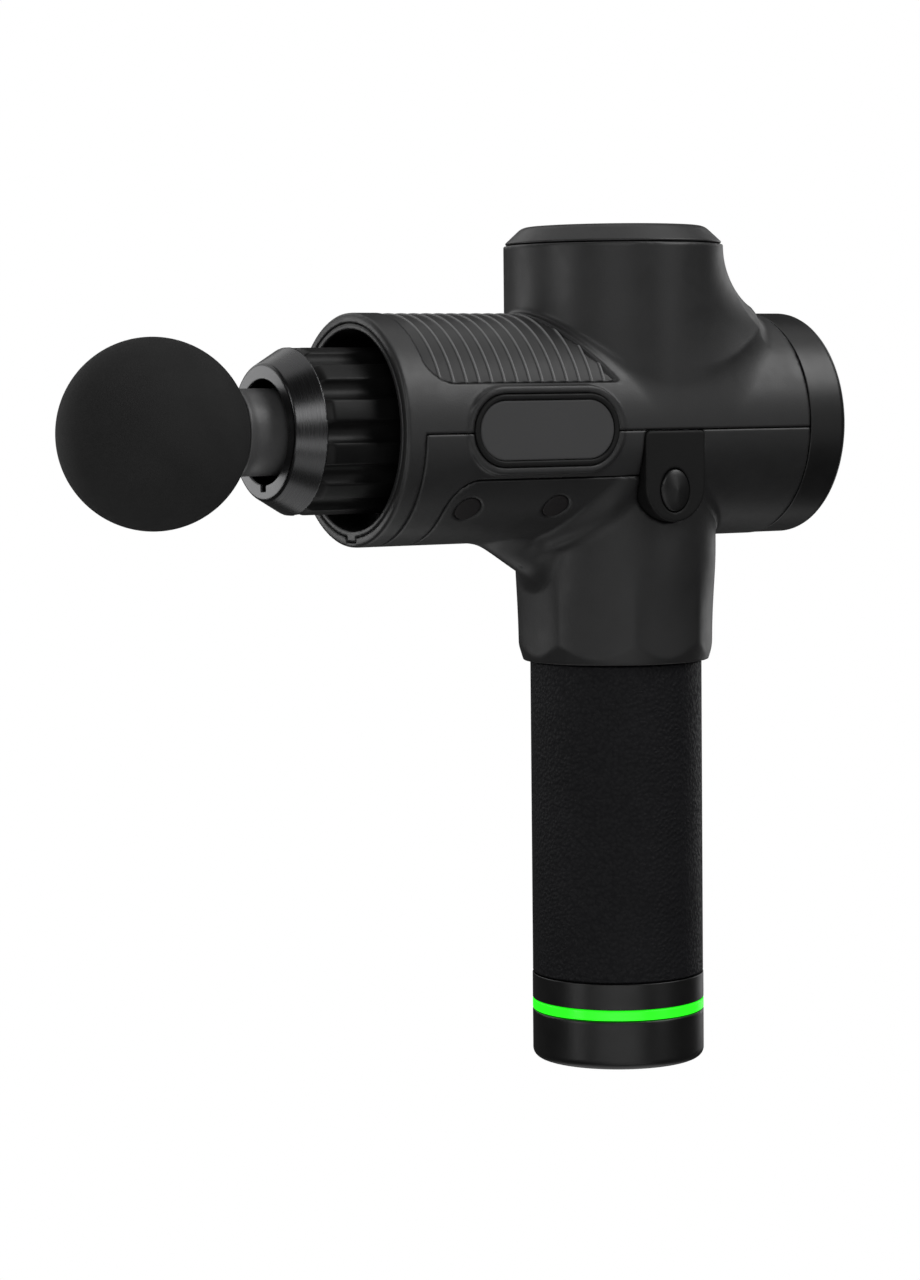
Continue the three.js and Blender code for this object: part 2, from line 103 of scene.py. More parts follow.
def cuboid(x, y, z, centre, half, edge):
    """A box with rounded edges."""
    d = [np.abs(p - c) - (h - edge) for p, c, h in zip((x, y, z), centre, half)]
    outside = np.sqrt(sum(np.maximum(v, 0) ** 2 for v in d))
    return outside + np.minimum(np.maximum(np.maximum(d[0], d[1]), d[2]), 0) - edge


def capsule(x, y, z, a, b, radius):
    """A round bar from a to b."""
    ax = np.array(b) - np.array(a)
    t = ((x - a[0]) * ax[0] + (y - a[1]) * ax[1] + (z - a[2]) * ax[2]) / (ax @ ax)
    t = np.clip(t, 0, 1)
    across = [p - start - t * along for p, start, along in zip((x, y, z), a, ax)]
    return np.sqrt(sum(v ** 2 for v in across)) - radius


def body(field, start, end, step, name):
    """The surface where the field is zero, as a closed mesh whose vertices lie on it exactly."""
    margin = 3 * step
    axes = [np.arange(a - margin, b + margin, step, dtype=np.float32) for a, b in zip(start, end)]
    slabs = [
        field(part[:, None, None], axes[1][None, :, None], axes[2][None, None, :]).astype(np.float32)
        for part in np.array_split(axes[0], 8)
    ]
    grid = openvdb.FloatGrid(margin)
    grid.copyFromArray(np.concatenate(slabs))
    points, _, quads = grid.convertToPolygons(0.0, 0.0)
    points = points.astype(float) * step + [axis[0] for axis in axes]
    nudge = 0.02
    for _ in range(3):
        here = field(*points.T)
        slope = np.stack([
            field(*(points + nudge * way).T) - field(*(points - nudge * way).T) for way in np.eye(3)
        ], axis=1) / (2 * nudge)
        steepness = np.maximum((slope ** 2).sum(1), 0.25)
        move = slope * (here / steepness)[:, None]
        points -= np.clip(move, -0.6 * step, 0.6 * step)
    return mesh_of(name, points, quads)


def mesh_of(name, points, faces):
    """A smooth-shaded object from points in millimetres and faces of one size."""
    mesh = bpy.data.meshes.new(name)
    corners = faces.shape[1]
    mesh.vertices.add(len(points))
    mesh.vertices.foreach_set("co", (np.asarray(points) * MM).astype(np.float32).ravel())
    mesh.loops.add(faces.size)
    mesh.loops.foreach_set("vertex_index", faces.astype(np.int32).ravel())
    mesh.polygons.add(len(faces))
    mesh.polygons.foreach_set("loop_start", np.arange(len(faces), dtype=np.int32) * corners)
    mesh.update(calc_edges=True)
    mesh.validate()
    mesh.shade_smooth()
    made = bpy.data.objects.new(name, mesh)
    bpy.context.scene.collection.objects.link(made)
    return made


# ---- the housing's outer form ----
PATCH_FRONT_X = RIM_X + 8.4
PATCH_ARC = 36.2  # round the barrel, from its top line to the patch's lower edge
PATCH_CORNER = 8
PATCH_REAR = TURRET_R + 3
PATCH_SEAT = 1.5  # how far the ribbed patch is let into the shell
RIB_PITCH = 3.9
RIB_DEPTH = 0.55
BEAD = 0.3
SWEEP_R = 21  # the curve by which the turret spreads out at the rear


def patch_outline(x, y, z):
    """Where the ribbed patch lies, over the top of the barrel's front: negative inside."""
    arc = BARREL_R * np.arctan2(np.abs(y), z - BARREL_Z)
    edge = rounded(PATCH_FRONT_X - x, arc - PATCH_ARC, PATCH_CORNER)
    return np.maximum(edge, np.maximum(PATCH_REAR - np.hypot(x, y), x))


def rib_depth(x):
    """How far the ribs lie below the barrel's surface: each slopes up to a bead and then drops."""
    phase = np.mod((x - PATCH_FRONT_X) / RIB_PITCH, 1)
    valley = np.maximum(1 - phase / 0.82, ramp(phase, 0.97, 1.0))
    bead = np.sqrt(np.clip(1 - ((phase - 0.9) / 0.09) ** 2, 0, 1))
    return 0.4 + RIB_DEPTH * np.maximum(valley, 0) - BEAD * bead


def rib_patch(x, y, z):
    plain = np.hypot(y, z - BARREL_Z) - BARREL_R
    form = rounded(patch_outline(x, y, z), plain + rib_depth(x), 0.2)
    return np.maximum(form, -PATCH_SEAT - 0.1 - plain)


def housing(x, y, z):
    """Barrel and turret, with the broad fairing behind the turret and the pads under the badges."""
    plain = np.hypot(y, z - BARREL_Z) - BARREL_R
    seat = np.maximum(patch_outline(x, y, z) - GAP, -PATCH_SEAT - plain)
    barrel = rounded(plain, -seat, 0.2)
    rearward = np.clip(x / (0.84 * np.maximum(np.hypot(x, y), 1)), 0, 1) ** 2
    height = np.clip(plain, 0, SWEEP_R)
    sweep = np.minimum(SWEEP_R - np.sqrt(SWEEP_R ** 2 - (SWEEP_R - height) ** 2), 10)
    turret = np.maximum(np.hypot(x, y) - TURRET_R - sweep * rearward, BARREL_Z - z)
    both = fillet(barrel, turret, 1.3 + 2.7 * rearward)
    grow = 2.2
    u = x - (BADGE_LOW[0] + BADGE_HIGH[0]) / 2
    v = z - (BADGE_LOW[2] + BADGE_HIGH[2]) / 2
    half_u = (BADGE_HIGH[0] - BADGE_LOW[0]) / 2 + grow
    half_v = (BADGE_HIGH[2] - BADGE_LOW[2]) / 2 + grow
    pad = rounded(pill(u, v, half_u, half_v), np.abs(y) - BARREL_R - 0.12, 0.7)
    return fillet(both, np.maximum(pad, 20 - np.abs(y)), 0.5)


def inside(x, y, z):
    barrel = np.hypot(y, z - BARREL_Z) - BARREL_R + WALL
    turret = np.maximum(np.hypot(x, y) - TURRET_R + WALL, BARREL_Z - z)
    return np.minimum(barrel, turret)


def tab_outline(x, z, grow=0.0):
    """The U-shaped tab, seen from the side."""
    half = (TAB_HIGH[0] - TAB_LOW[0]) / 2
    u = x - (TAB_LOW[0] + TAB_HIGH[0]) / 2
    centre = TAB_LOW[2] + half
    round_end = np.hypot(u, np.minimum(z - centre, 0)) - half
    return rounded(round_end - grow, z - TAB_HIGH[2] - grow, 1.5)


def badge_outline(x, z, inset=0.0):
    u = x - (BADGE_LOW[0] + BADGE_HIGH[0]) / 2
    v = z - (BADGE_LOW[2] + BADGE_HIGH[2]) / 2
    half_u = (BADGE_HIGH[0] - BADGE_LOW[0]) / 2 - inset
    half_v = (BADGE_HIGH[2] - BADGE_LOW[2]) / 2 - inset
    return pill(u, v, half_u, half_v)


def side_holes(x, y, z):
    """What the badges and the tabs take out of the shells."""
    holes = np.minimum(badge_outline(x, z, -GAP / 2), tab_outline(x, z, GAP / 2))
    return np.maximum(holes, 10 - np.abs(y))


NECK_FRONT_X = low("neck_housing")[0]
STEP_Z = 164.0  # the line between the band and the neck housing


def neck_front(x, z):
    """Negative where the neck housing reaches forward under the band; its front corner is round."""
    return rounded(NECK_FRONT_X - x, z - STEP_Z, 9.0)


SOCKET_R = 22.4  # the round bore that takes the handle
NECK_R = 27.6
NECK_FLARE = 0.45  # how much wider it is at the top of the flutes
NECK_FOOT_R = 25.9
NECK_FLUTE = 1.2


def neck(x, y, z):
    """The column above the grip: eight soft flutes, and a chamfer round its foot."""
    r = np.hypot(x, y)
    depth = NECK_FLUTE * (1 - ramp(z, NECK_Z + 8, NECK_Z + 32))
    scallop = np.sqrt(np.cos(4 * np.arctan2(y, x)) ** 2 + 0.03)
    radius = NECK_R + NECK_FLARE * ramp(z, NECK_Z, NECK_Z + 28) - depth * scallop
    foot = r - (NECK_FOOT_R + 0.3 * (z - NECK_Z))
    column = rounded(r - radius, foot, 0.12)
    column = rounded(column, NECK_Z - z, 0.3)
    return np.maximum(column, z - BARREL_Z)


COLLAR_R = 31.6
COLLAR_REAR_X = -8
WEB_START, WEB_END = (-52, 0, 155.0), (-23.5, 0, 142.2)
WEB_R = 5.6
WEB_SPREAD = 2.4  # how much thicker the web is where it meets the neck
VENTS = ((-39.6, 142.3), (-35.6, 140.3))  # where each short slot under the web starts: x, z
VENT_Y = 3.3
VENT_RUN = (2.6, -1.3)  # from a slot's start to its end: x, z


def lower_form(x, y, z):
    """The neck flares into a collar under the front of the barrel, and a web runs forward from it."""
    barrel = np.hypot(y, z - BARREL_Z) - BARREL_R
    r = np.maximum(np.hypot(x, y), 1)
    forward = np.clip(-x / r, 0, 1)
    both = fillet(barrel, neck(x, y, z), 1.6 + 4.4 * ramp(forward, 0.1, 0.7))
    collar = rounded(r - COLLAR_R, barrel - 2.4 * ramp(forward, 0.25, 0.6), 2.0)
    collar = np.maximum(np.maximum(collar, x - COLLAR_REAR_X), z - BARREL_Z)
    form = fillet(both, collar, 2.0)
    web = capsule(x, y, z, WEB_START, WEB_END, WEB_R + WEB_SPREAD * ramp(-x, 46, 26))
    form = fillet(form, web, 1.4 + 2.4 * ramp(x, -45, -34))
    for start_x, start_z in VENTS:
        start = (start_x, VENT_Y, start_z)
        end = (start_x + VENT_RUN[0], VENT_Y, start_z + VENT_RUN[1])
        vent = capsule(x, np.abs(y), z, start, end, 0.5)
        form = rounded(form, -vent, 0.15)
    return form


def upper_shell(x, y, z):
    wall = rounded(rounded(housing(x, y, z), RIM_X - x, 0.9), -inside(x, y, z), 0.3)
    wall = rounded(wall, -side_holes(x, y, z), 0.3)
    below = np.maximum(BAND_X - GAP - x, z - SEAM_Z - GAP)
    wall = rounded(wall, -below, 0.3)
    key = cuboid(x, y, z, (RIM_X, 0, BARREL_Z - BARREL_R + WALL), (4, 2.5, 1.3), 0.3)
    wall = rounded(wall, -key, 0.15)
    return rounded(rounded(wall, x - REAR_SEAM_X, 0.35), z - CHAMFER_Z, 0.35)


def front_lower_shell(x, y, z):
    wall = rounded(housing(x, y, z), -inside(x, y, z), 0.3)
    wall = rounded(wall, -side_holes(x, y, z), 0.3)
    region = np.maximum(BAND_X - x, z - SEAM_Z)
    region = np.maximum(region, x - SPLIT_X)
    wall = rounded(wall, region, 0.3)
    return rounded(wall, GAP - neck_front(x, z), 0.3)


PLUG_ANGLE = math.radians(42.6)
PLUG_R = 3.75
PLUGS = {
    row: (low(f"screw_plug_{row}_left")[0] + high(f"screw_plug_{row}_left")[0]) / 2
    for row in ("front", "rear")
}


def plug_distance(x, y, z, centre_x):
    """Distance from the line that a plug stands on, and height along it."""
    out = np.abs(y) * math.cos(PLUG_ANGLE) - (z - BARREL_Z) * math.sin(PLUG_ANGLE)
    across = np.abs(y) * math.sin(PLUG_ANGLE) + (z - BARREL_Z) * math.cos(PLUG_ANGLE)
    return np.hypot(x - centre_x, across), out


def neck_housing(x, y, z):
    cavity = np.minimum(inside(x, y, z), np.maximum(np.hypot(x, y) - SOCKET_R, z - BARREL_Z))
    wall = rounded(lower_form(x, y, z), -cavity, 0.4)
    wall = rounded(wall, -side_holes(x, y, z), 0.3)
    region = np.minimum(neck_front(x, z), np.maximum(SPLIT_X - x, z - SEAM_Z))
    wall = rounded(wall, region, 0.3)
    for centre_x in PLUGS.values():
        r, out = plug_distance(x, y, z, centre_x)
        wall = rounded(wall, -np.maximum(r - PLUG_R - 0.15, 20 - out), 0.2)
    return rounded(wall, x - REAR_SEAM_X, 0.35)


# ---- pieces turned on an axis ----
def soften(points, closed):
    """A profile whose corners are rounded: each point is (radius, height, corner radius)."""
    made = []
    count = len(points)
    for i, (r, h, corner) in enumerate(points):
        here = np.array([r, h], float)
        ends = not closed and i in (0, count - 1)
        if corner == 0 or ends:
            made.append(here)
            continue
        before = np.array(points[i - 1][:2], float) - here
        after = np.array(points[(i + 1) % count][:2], float) - here
        length_before, length_after = np.linalg.norm(before), np.linalg.norm(after)
        before, after = before / length_before, after / length_after
        half = math.acos(np.clip(before @ after, -1, 1)) / 2
        reach = min(corner / math.tan(half), 0.49 * length_before, 0.49 * length_after)
        radius = reach * math.tan(half)
        middle = (before + after) / np.linalg.norm(before + after)
        centre = here + middle * radius / math.sin(half)
        start, stop = here + before * reach - centre, here + after * reach - centre
        steps = 6
        guard = min(0.12, 0.3 * reach + 0.02)
        made.append(here + before * (reach + guard))
        turn = math.atan2(start[0] * stop[1] - start[1] * stop[0], start @ stop)
        for step in range(steps + 1):
            a = turn * step / steps
            spin = np.array([[math.cos(a), -math.sin(a)], [math.sin(a), math.cos(a)]])
            made.append(centre + spin @ start)
        made.append(here + after * (reach + guard))
    return np.array(made)


def turned(name, points, place=(0, 0, 0), axis="z", segments=144):
    """A solid of revolution. A profile from axis to axis is capped there, and any other closes."""
    on_axis = points[0][0] == 0 and points[-1][0] == 0
    profile = soften(points, closed=not on_axis)
    inner = profile[1:-1] if on_axis else profile
    angles = np.arange(segments) * 2 * math.pi / segments
    rings = np.stack([
        inner[:, None, 0] * np.cos(angles),
        inner[:, None, 0] * np.sin(angles),
        np.broadcast_to(inner[:, None, 1], (len(inner), segments)),
    ], axis=-1).reshape(-1, 3)
    rows = len(inner) if not on_axis else len(inner) - 1
    i, j = np.meshgrid(np.arange(rows), np.arange(segments), indexing="ij")
    following, beside = (i + 1) % len(inner), (j + 1) % segments
    quads = np.stack([i * segments + j, i * segments + beside, following * segments + beside,
                      following * segments + j], axis=-1).reshape(-1, 4)
    faces = [quads[:, [0, 1, 2]], quads[:, [0, 2, 3]]]
    if on_axis:
        tips = len(rings) + np.arange(2)
        rings = np.vstack([rings, [[0, 0, profile[0][1]], [0, 0, profile[-1][1]]]])
        ring = np.arange(segments)
        beside = (ring + 1) % segments
        last = (len(inner) - 1) * segments
        faces.append(np.stack([np.full(segments, tips[0]), beside, ring], axis=1))
        faces.append(np.stack([np.full(segments, tips[1]), last + ring, last + beside], axis=1))
    if axis == "x":
        rings = np.stack([rings[:, 2], rings[:, 1], -rings[:, 0]], axis=1)
    return mesh_of(name, rings + np.array(place), np.vstack(faces))


def on_barrel(name, points, segments=144):
    return turned(name, points, (0, 0, BARREL_Z), "x", segments)


# ---- nose, sleeve and massage head ----
NOSE_X = low("nose_ring")[0]
NOSE_REAR_X = high("nose_ring")[0]
SLEEVE_R = (high("fluted_sleeve")[2] - low("fluted_sleeve")[2]) / 2 + 0.15
SLEEVE_REAR_X = high("fluted_sleeve")[0]
NOSE_R = 17.95
BORE_R = 13.8
FLUTES = 12
FLUTE_R = 3.3
FLUTE_DEPTH = 2.1
CONE_SKIN = 0.8  # the ring is this thick over the sleeve's nose
LIP_DEPTH = 3.3  # the ring's thickness at its front
RING_HOLLOW_R = 16.6
SLEEVE_BORE_R = 16.8
SLEEVE_SET_BACK = 3.6  # from the ring's front to the sleeve's
LINER_R = 26.8


def flutes(y, z, grow=0.0):
    """Twelve round grooves along the sleeve, one facing each side."""
    pitch = 2 * math.pi / FLUTES
    angle = np.arctan2(z - BARREL_Z, y)
    local = np.mod(angle + pitch / 2, pitch) - pitch / 2
    r = np.hypot(y, z - BARREL_Z)
    centre = SLEEVE_R - FLUTE_DEPTH + FLUTE_R
    return np.hypot(r * np.cos(local) - centre, r * np.sin(local)) - FLUTE_R - grow


def nose_cone(x, y, z, inset):
    r = np.hypot(y, z - BARREL_Z)
    slope = (SLEEVE_R - NOSE_R) / (NOSE_REAR_X - NOSE_X)
    return (r - NOSE_R - slope * (x - NOSE_X)) / math.hypot(1, slope) + inset


def nose_ring(x, y, z):
    r = np.hypot(y, z - BARREL_Z)
    form = rounded(nose_cone(x, y, z, 0), NOSE_X - x, 0.6)
    form = rounded(form, x - NOSE_REAR_X, 0.25)
    form = rounded(form, BORE_R - r, 0.5)
    hollow = np.maximum(RING_HOLLOW_R - r, NOSE_X + LIP_DEPTH - x)
    hollow = np.maximum(hollow, nose_cone(x, y, z, CONE_SKIN))
    form = rounded(form, -hollow, 0.15)
    notch = cuboid(x, y, z, (NOSE_X, 0, BARREL_Z - BORE_R), (12, 1.25, 1.8), 0.3)
    return rounded(form, -notch, 0.2)


def fluted_sleeve(x, y, z):
    r = np.hypot(y, z - BARREL_Z)
    form = rounded(r - SLEEVE_R, nose_cone(x, y, z, CONE_SKIN + 0.15), 0.3)
    form = rounded(form, -flutes(y, z), 0.35)
    form = np.maximum(form, NOSE_X + SLEEVE_SET_BACK - x)
    form = rounded(form, x - SLEEVE_REAR_X, 0.5)
    return rounded(form, SLEEVE_BORE_R - r, 0.3)


def mouth_liner(x, y, z):
    r = np.hypot(y, z - BARREL_Z)
    form = rounded(LINER_R - r, r - (BARREL_R - WALL - 0.18), 0.25)
    key = cuboid(x, y, z, (RIM_X, 0, BARREL_Z - BARREL_R + WALL), (4, 2.28, 1.1), 0.3)
    form = fillet(form, key, 0.3)
    form = rounded(form, LINER_R - r, 0.4)
    form = rounded(form, RIM_X + 0.1 - x, 0.3)
    return rounded(form, x - high("mouth_liner")[0], 0.3)


BALL_R = (high("massage_ball")[2] - low("massage_ball")[2]) / 2
BALL_X = low("massage_ball")[0] + BALL_R
STEM_R = 11.5


def make_ball():
    flat_r = 12.1
    stop = math.asin(flat_r / BALL_R)
    rim_x = BALL_X + BALL_R * math.cos(stop)
    steps = 72
    points = [(0, BALL_X - BALL_R, 0)]
    for step in range(1, steps + 1):
        a = math.pi - (math.pi - stop) * step / steps
        points.append((BALL_R * math.sin(a), BALL_X + BALL_R * math.cos(a), 0))
    points += [(7.3, rim_x, 0), (7.3, BALL_X + 6, 0), (0, BALL_X + 6, 0)]
    return on_barrel("fine_massage_ball", points, 160)


def make_stem():
    flat_x = BALL_X + math.sqrt(BALL_R ** 2 - 12.2 ** 2) + 0.25
    start_x = low("head_stem")[0]
    shoulder_x = -104.3  # where the stem narrows to its plug
    end_x = high("head_stem")[0]
    plug_r = 9.1
    points = [(0, start_x, 0), (7, start_x, 0.4), (7, flat_x, 0), (12.3, flat_x, 0.4)]
    flare = 3.2
    for step in range(1, 7):
        t = step / 6
        points.append((STEM_R + 0.8 * (1 - t) ** 2, flat_x + 0.4 + flare * t, 0))
    points += [(STEM_R, shoulder_x, 0.5), (plug_r, shoulder_x, 0)]
    for ring in ("stem_o_ring_1", "stem_o_ring_2"):
        x0, x1 = low(ring)[0] - 0.2, high(ring)[0] + 0.2
        points += [(plug_r, x0, 0.15), (7.2, x0, 0.15), (7.2, x1, 0.15), (plug_r, x1, 0.15)]
    points += [(plug_r, end_x, 0.8), (0, end_x, 0)]
    return on_barrel("fine_head_stem", points)


def make_piston():
    x0, x1 = low("piston")[0], high("piston")[0]
    floor_x = -80  # the bottom of the socket
    socket_r, outer_r = 9.4, 11.85
    points = [(0, floor_x, 0), (socket_r, floor_x, 0.3), (socket_r, x0, 0.4),
              (outer_r, x0, 0.6), (outer_r, x1, 0.5), (0, x1, 0)]
    return on_barrel("fine_piston", points)


# ---- side fittings ----
TAB_FACE = TAB_HIGH[1]
BADGE_FACE = BADGE_HIGH[1]
BADGE_RIM = 1.55
BADGE_SEAT = 27.5  # the frame's inner face, from the mirror plane
PLUG_FACE, PLUG_SEAT = 31.2, 29.9  # a plug's outer and inner ends, from the barrel's axis
PANEL_R = 26.15
KEY_HOLE_R = 4.4


def tab_field(side):
    def field(x, y, z):
        out = side * y
        form = rounded(tab_outline(x, z), out - TAB_FACE, 0.55)
        form = np.maximum(form, BARREL_R - WALL + 0.3 - np.hypot(y, z - BARREL_Z))
        form = rounded(form, -button_outline(x, z, 0.2), 0.3)
        return np.maximum(form, 8 - out)
    return field


def button_outline(x, z, grow=0.0):
    half = (BUTTON_HIGH - BUTTON_LOW) / 2 + grow
    u = (x - (BUTTON_LOW[0] + BUTTON_HIGH[0]) / 2) / half[0]
    v = (z - (BUTTON_LOW[2] + BUTTON_HIGH[2]) / 2) / half[2]
    return (np.hypot(u, v) - 1) * half[0]


def button_field(side):
    def field(x, y, z):
        out = side * y
        edge = button_outline(x, z)
        half = (BUTTON_HIGH[0] - BUTTON_LOW[0]) / 2
        crown = 1.5 * np.sqrt(np.clip(-edge / half, 0, 1))
        form = rounded(edge, out - TAB_FACE + 0.15 - crown, 0.35)
        return np.maximum(form, BUTTON_LOW[1] - out)
    return field


def badge_frame_field(side):
    def field(x, y, z):
        out = side * y
        bead = rounded(badge_outline(x, z), -badge_outline(x, z, BADGE_RIM), 0.1)
        form = rounded(bead, out - BADGE_FACE, 0.5)
        return np.maximum(form, BADGE_SEAT - out)
    return field


def badge_plate_field(side):
    def field(x, y, z):
        out = side * y
        form = rounded(badge_outline(x, z, BADGE_RIM + 0.1), out - BADGE_FACE + 0.35, 0.25)
        return np.maximum(form, BADGE_FACE - 1.6 - out)
    return field


def plug_field(side, centre_x):
    def field(x, y, z):
        r, out = plug_distance(x, np.maximum(side * y, 0), z, centre_x)
        crown = 0.12 * (r / PLUG_R) ** 2
        form = rounded(r - PLUG_R, out - PLUG_FACE + crown, 0.35)
        return np.maximum(form, PLUG_SEAT - out)
    return field


# ---- rear panel ----
KEYS = {"minus_button": "minus", "power_button": "power", "plus_button": "plus"}


def centre_of(node):
    return (low(node) + high(node)) / 2


def key_sign(kind, u, v):
    """The raised sign on a key, as a flat outline."""
    bar = 0.32
    across = np.maximum(np.abs(u) - 1.7, np.abs(v) - bar)
    if kind == "minus":
        return across
    if kind == "plus":
        return np.minimum(across, np.maximum(np.abs(v) - 1.7, np.abs(u) - bar))
    ring = np.abs(np.hypot(u, v) - 1.6) - bar
    ring = np.maximum(ring, np.minimum(0.75 - np.abs(u), v))
    stroke = np.maximum(np.abs(u) - bar, np.abs(v - 1.35) - 1.0)
    return np.minimum(ring, stroke)


def key_field(node):
    _, y0, z0 = centre_of(node)
    radius = (high(node)[1] - low(node)[1]) / 2
    top = high(node)[0]

    def field(x, y, z):
        r = np.hypot(y - y0, z - z0)
        dish = 0.25 * (1 - (r / radius) ** 2)
        form = rounded(r - radius, x - top + 0.05 + dish, 0.5)
        sign = rounded(key_sign(KEYS[node], y - y0, z - z0), x - top + 0.02, 0.12)
        form = np.minimum(form, np.maximum(sign, top - 1.5 - x))
        return np.maximum(form, low(node)[0] - x)
    return field


def rear_panel(x, y, z):
    r = np.hypot(y, z - BARREL_Z)
    form = rounded(r - PANEL_R, x - REAR_X + 0.05, 0.4)
    form = np.maximum(form, low("rear_panel")[0] - x)
    window = centre_of("display_lens")
    half = (high("display_lens") - low("display_lens")) / 2
    hole = cuboid(x, y, z, (REAR_X, window[1], window[2]), (0.7, half[1] + 0.15, half[2] + 0.15), 0.5)
    form = rounded(form, -hole, 0.2)
    for node in KEYS:
        _, y0, z0 = centre_of(node)
        form = rounded(form, KEY_HOLE_R - np.hypot(y - y0, z - z0), 0.3)
    return form


def display_lens(x, y, z):
    window = centre_of("display_lens")
    half = (high("display_lens") - low("display_lens")) / 2
    return cuboid(x, y, z, (REAR_X - 0.35, window[1], window[2]), (0.3, half[1], half[2]), 0.25)


# ---- covers and handle ----
def make_turret_cap():
    seat_z = low("turret_cap")[2]
    seat_r = TURRET_R - WALL - 0.3
    line_z = CHAMFER_Z + 0.3
    top_r = 25.2
    return turned("fine_turret_cap", [
        (0, seat_z, 0), (seat_r, seat_z, 0.3), (seat_r, line_z, 0), (TURRET_R, line_z, 0.35),
        (top_r, TURRET_TOP, 4.0), (0, TURRET_TOP, 0),
    ], segments=200)


def make_rear_cap():
    radius = (high("rear_cap")[1] - low("rear_cap")[1]) / 2
    inner = BARREL_R - WALL
    lip = 26.4
    depth = 2.0
    return on_barrel("fine_rear_cap", [
        (inner, low("rear_cap")[0], 0.2), (radius, low("rear_cap")[0], 0.35), (radius, REAR_X, 2.6),
        (lip, REAR_X, 0.35), (lip, REAR_X - depth, 0), (inner, REAR_X - depth, 0),
    ], 200)


def make_battery_tube():
    outer = (high("battery_tube")[0] - low("battery_tube")[0]) / 2
    inner = outer - 1.8
    bottom, top = low("battery_tube")[2], high("battery_tube")[2]
    latch = top - 9  # the groove that holds the handle in the housing
    return turned("fine_battery_tube", [
        (inner, bottom, 0), (outer, bottom, 0.2),
        (outer, latch - 1.6, 0.3), (outer - 0.7, latch - 1.6, 0.3),
        (outer - 0.7, latch + 1.6, 0.3), (outer, latch + 1.6, 0.3), (outer, top, 0.7),
        (inner, top, 0.4),
    ])


def make_ring(node, inner, outer, edge):
    bottom, top = low(node)[2], high(node)[2]
    return turned("fine_" + node, [
        (inner, bottom, 0.1), (outer, bottom, edge), (outer, top, edge), (inner, top, 0.1),
    ], segments=200)


def make_charge_jack():
    """A barrel socket with its centre pin; the mouth is bevelled."""
    centre = centre_of("charge_jack")
    face, back = low("charge_jack")[2], high("charge_jack")[2]
    return turned("fine_charge_jack", [
        (0, face + 2.2, 0), (0.9, face + 2.2, 0.5), (0.9, back - 2.2, 0),
        (2.7, back - 2.2, 0), (2.7, face + 0.5, 0.1),
        (3.1, face, 0.1), (4, face, 0.25), (4, back, 0.2), (0, back, 0),
    ][::-1], (centre[0], centre[1], 0), segments=72)


def make_o_ring(node):
    outer = (high(node)[1] - low(node)[1]) / 2
    start, end = low(node)[0], high(node)[0]
    return on_barrel("fine_" + node, [
        (7.3, start, 0.5), (outer, start, 0.85), (outer, end, 0.85), (7.3, end, 0.5),
    ], 96)


FOOT_EDGE = 2.5


def base_cup(x, y, z):
    """The foot: a round cup with openings for the charging socket and the switch."""
    outer = (high("base_cup")[0] - low("base_cup")[0]) / 2
    r = np.hypot(x, y)
    form = rounded(r - outer - 0.06, -z, FOOT_EDGE)
    form = rounded(form, z - high("base_cup")[2], 0.3)
    form = rounded(form, -np.maximum(r - outer + 2.2, 2.2 - z), 0.4)
    jack_x = centre_of("charge_jack")[0]
    form = rounded(form, 4.3 - np.hypot(x - jack_x, y), 0.35)
    switch_x = centre_of("power_switch")[0]
    return rounded(form, -cuboid(x, y, z, (switch_x, 0, 0), (2.4, 5, 4), 1.0), 0.35)


def power_switch(x, y, z):
    """A slide knob with three ribs across its face."""
    centre = centre_of("power_switch")
    half = (high("power_switch") - low("power_switch")) / 2
    form = cuboid(x, y, z, centre, half, 0.45)
    for offset in (-1.3, 0, 1.3):
        groove = np.hypot(y - centre[1] - offset, z - low("power_switch")[2]) - 0.4
        form = rounded(form, -groove, 0.12)
    return form


# ---- materials ----
def shader(name):
    made = bpy.data.materials.new(name)
    made.use_nodes = True
    nodes = made.node_tree.nodes
    return made, nodes, made.node_tree.links, nodes["Principled BSDF"]


def noise(nodes, links, scale, detail=4.0, rough=0.55):
    """Noise in the object's own coordinates; scale is features per metre."""
    place = nodes.new("ShaderNodeTexCoord")
    made = nodes.new("ShaderNodeTexNoise")
    made.inputs["Scale"].default_value = scale
    made.inputs["Detail"].default_value = detail
    made.inputs["Roughness"].default_value = rough
    links.new(place.outputs["Object"], made.inputs["Vector"])
    return made


def spread(nodes, links, source, low_value, high_value):
    made = nodes.new("ShaderNodeMapRange")
    made.inputs["From Min"].default_value = 0.3
    made.inputs["From Max"].default_value = 0.7
    made.inputs["To Min"].default_value = low_value
    made.inputs["To Max"].default_value = high_value
    links.new(source, made.inputs["Value"])
    return made.outputs["Result"]


def tinted(nodes, links, source, dark, light):
    """A colour that runs from dark to light over the middle of the source's range."""
    made = nodes.new("ShaderNodeValToRGB")
    for stop, place, colour in zip(made.color_ramp.elements, (0.3, 0.7), (dark, light)):
        stop.position = place
        stop.color = (*colour, 1)
    links.new(source, made.inputs["Fac"])
    return made.outputs["Color"]


def bumped(nodes, links, source, target, height):
    made = nodes.new("ShaderNodeBump")
    made.inputs["Distance"].default_value = height
    made.inputs["Strength"].default_value = 1.0
    links.new(source, made.inputs["Height"])
    links.new(made.outputs["Normal"], target.inputs["Normal"])


